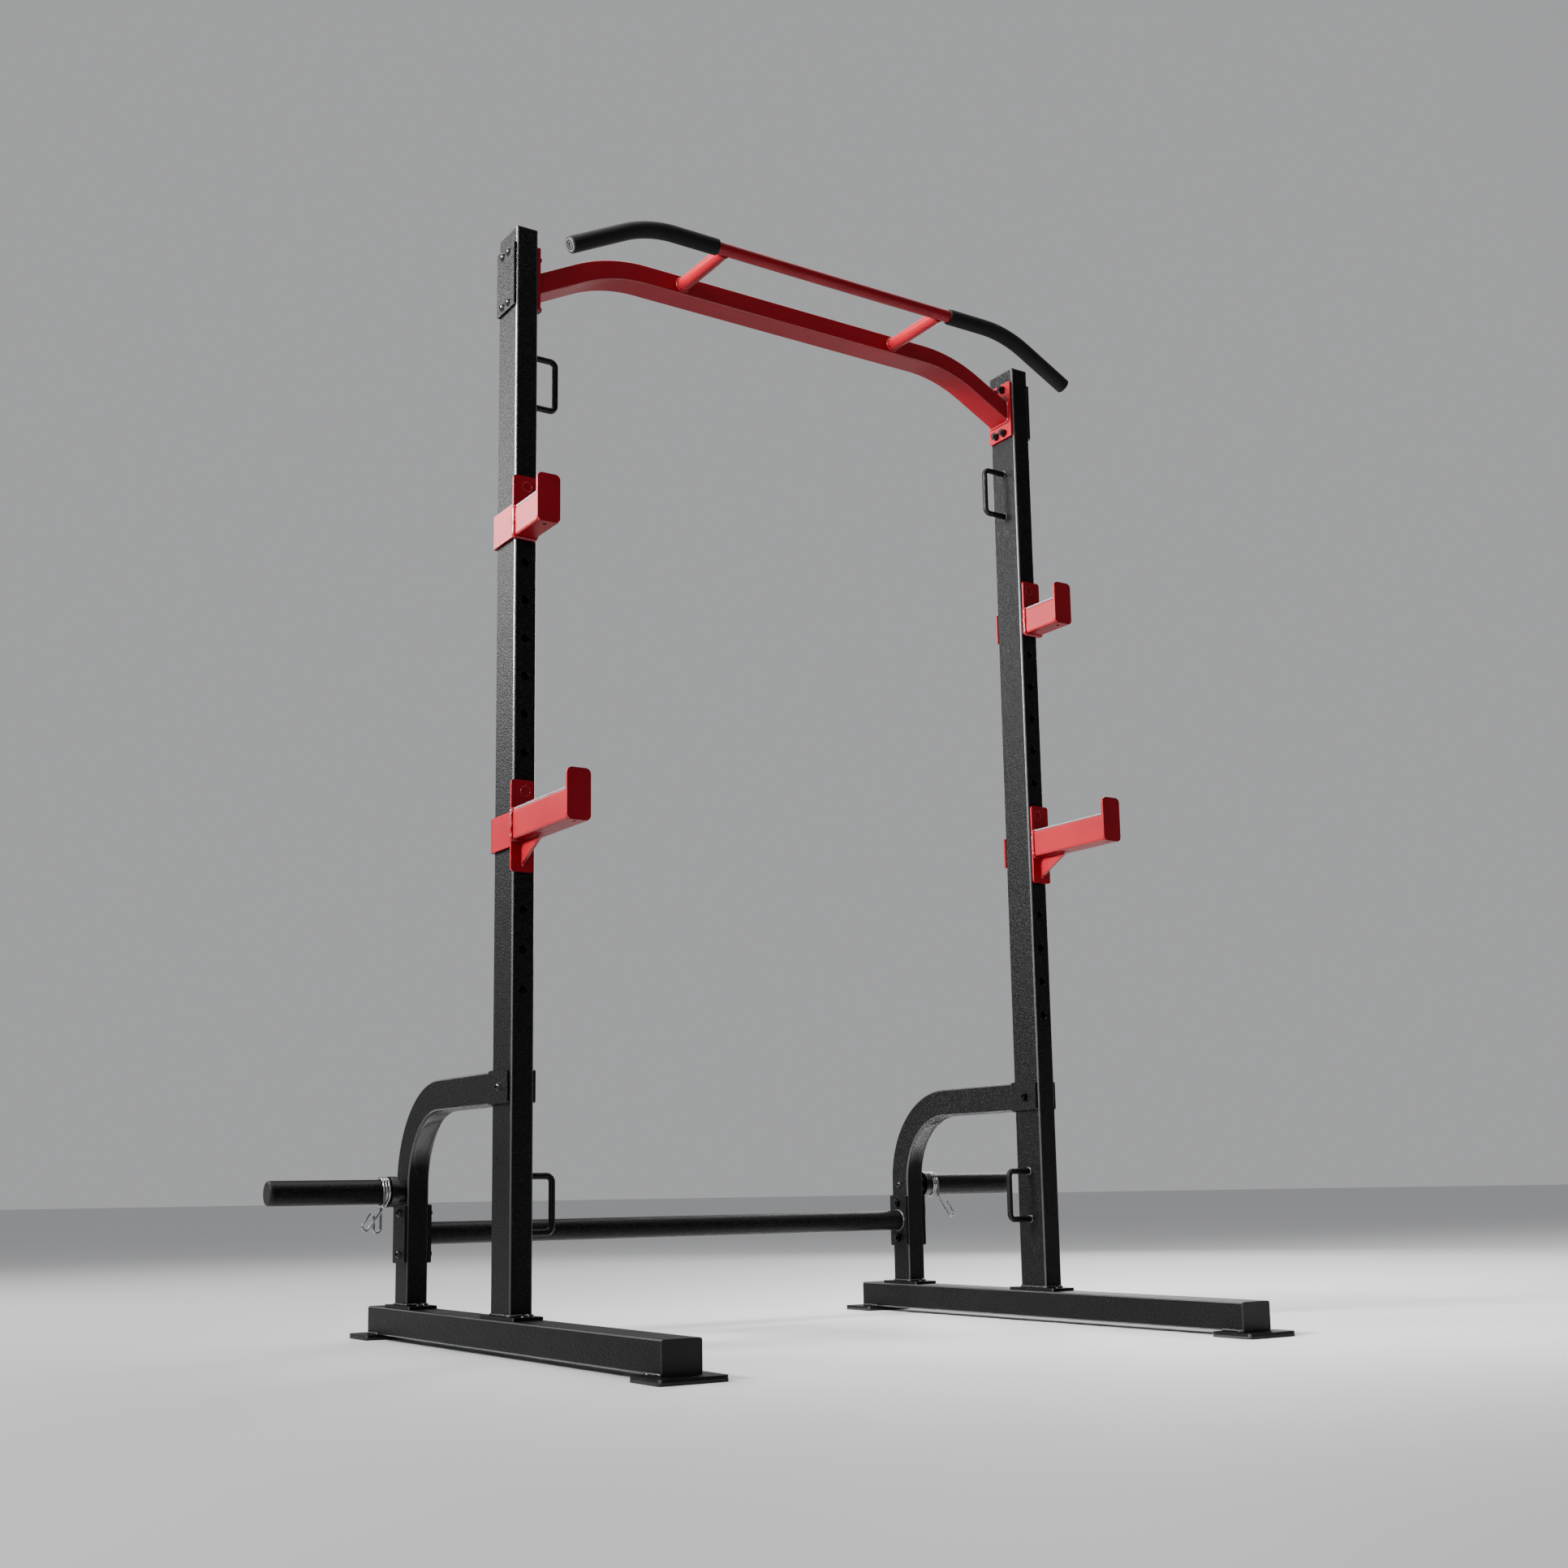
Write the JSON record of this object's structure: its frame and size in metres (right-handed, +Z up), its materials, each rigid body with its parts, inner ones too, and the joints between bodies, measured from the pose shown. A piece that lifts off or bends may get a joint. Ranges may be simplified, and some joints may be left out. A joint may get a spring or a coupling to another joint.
{
  "type": "half rack",
  "caption": "Free-standing half rack with two drilled uprights on floor tubes, a bent crossbar and pull-up bar, hook-in bar cups and spotter arms, and weight posts on rear braces.",
  "frame": {"origin": "on the floor, midway between the uprights and under their centre plane, which is the centre of the base", "axes": "+Z up, +X to the right for someone facing the cups' front from outside, cups and pull-up bar towards -Y, braces towards +Y"},
  "size_m": [1.806, 1.275, 2.105],
  "materials": {
    "black_powder": "fine-textured satin powder coat",
    "red_paint": "satin",
    "foam": "matte foam",
    "plug": "matte",
    "chrome": "polished",
    "rubber": "matte",
    "black_plastic": "matte",
    "bolt_black": "satin black oxide",
    "liner": "matte"
  },
  "bodies": {
    "frame": {"band_handle_lower_left": "black_powder", "band_handle_lower_right": "black_powder", "band_handle_upper_left": "black_powder", "band_handle_upper_right": "black_powder", "bar_plugs": "plug", "bar_stub_left": "red_paint", "bar_stub_right": "red_paint", "base_end_caps_left": "black_plastic", "base_end_caps_right": "black_plastic", "base_tube_left": "black_powder", "base_tube_right": "black_powder", "brace_fork_left": "black_powder", "brace_fork_right": "black_powder", "crossbar": "red_paint", "crossbar_backing_plate_left": "black_powder", "crossbar_backing_plate_right": "black_powder", "crossbar_end_plate_left": "red_paint", "crossbar_end_plate_right": "red_paint", "foot_pads_left": "rubber", "foot_pads_right": "rubber", "foot_plates_left": "black_powder", "foot_plates_right": "black_powder", "grip_left": "foam", "grip_right": "foam", "lower_backing_plate_left": "black_powder", "lower_backing_plate_right": "black_powder", "lower_bolts_left": "bolt_black", "lower_bolts_right": "bolt_black", "lower_cross_tube": "black_powder", "lower_end_plate_left": "black_powder", "lower_end_plate_right": "black_powder", "post_cap_left": "black_plastic", "post_cap_right": "black_plastic", "post_flange_left": "black_powder", "post_flange_right": "black_powder", "pull_up_bar": "red_paint", "rear_brace_left": "black_powder", "rear_brace_right": "black_powder", "rear_footing_left": "black_powder", "rear_footing_right": "black_powder", "upper_bolts_left": "bolt_black", "upper_bolts_right": "bolt_black", "upright_cap_left": "black_plastic", "upright_cap_right": "black_plastic", "upright_footing_left": "black_powder", "upright_footing_right": "black_powder", "upright_left": "black_powder", "upright_right": "black_powder", "weight_post_left": "black_powder", "weight_post_right": "black_powder"},
    "j_cup_left": {"j_cup_left": "red_paint", "j_cup_liner_left": "liner"},
    "j_cup_right": {"j_cup_right": "red_paint", "j_cup_liner_right": "liner"},
    "spotter_left": {"spotter_left": "red_paint", "spotter_liner_left": "liner"},
    "spotter_right": {"spotter_right": "red_paint", "spotter_liner_right": "liner"},
    "collar_left": {"spring_collar_left": "chrome"},
    "collar_right": {"spring_collar_right": "chrome"}
  },
  "joints": [
    {"name": "j_cup_left_turn", "type": "hinge", "parent": "frame", "child": "j_cup_left", "pos_m": [-0.61, 0, 1.583], "axis": [0, 1, 0], "range_deg": [0, 90]},
    {"name": "j_cup_right_turn", "type": "hinge", "parent": "frame", "child": "j_cup_right", "pos_m": [0.61, 0, 1.583], "axis": [0, -1, 0], "range_deg": [0, 90]},
    {"name": "spotter_left_turn", "type": "hinge", "parent": "frame", "child": "spotter_left", "pos_m": [-0.61, 0, 1.003], "axis": [0, 1, 0], "range_deg": [0, 90]},
    {"name": "spotter_right_turn", "type": "hinge", "parent": "frame", "child": "spotter_right", "pos_m": [0.61, 0, 1.0755], "axis": [0, -1, 0], "range_deg": [0, 90]},
    {"name": "collar_left_slide", "type": "slide", "parent": "frame", "child": "collar_left", "axis": [-1, 0, 0], "range_m": [0, 0.214]},
    {"name": "collar_right_slide", "type": "slide", "parent": "frame", "child": "collar_right", "axis": [1, 0, 0], "range_m": [0, 0.214]}
  ]
}
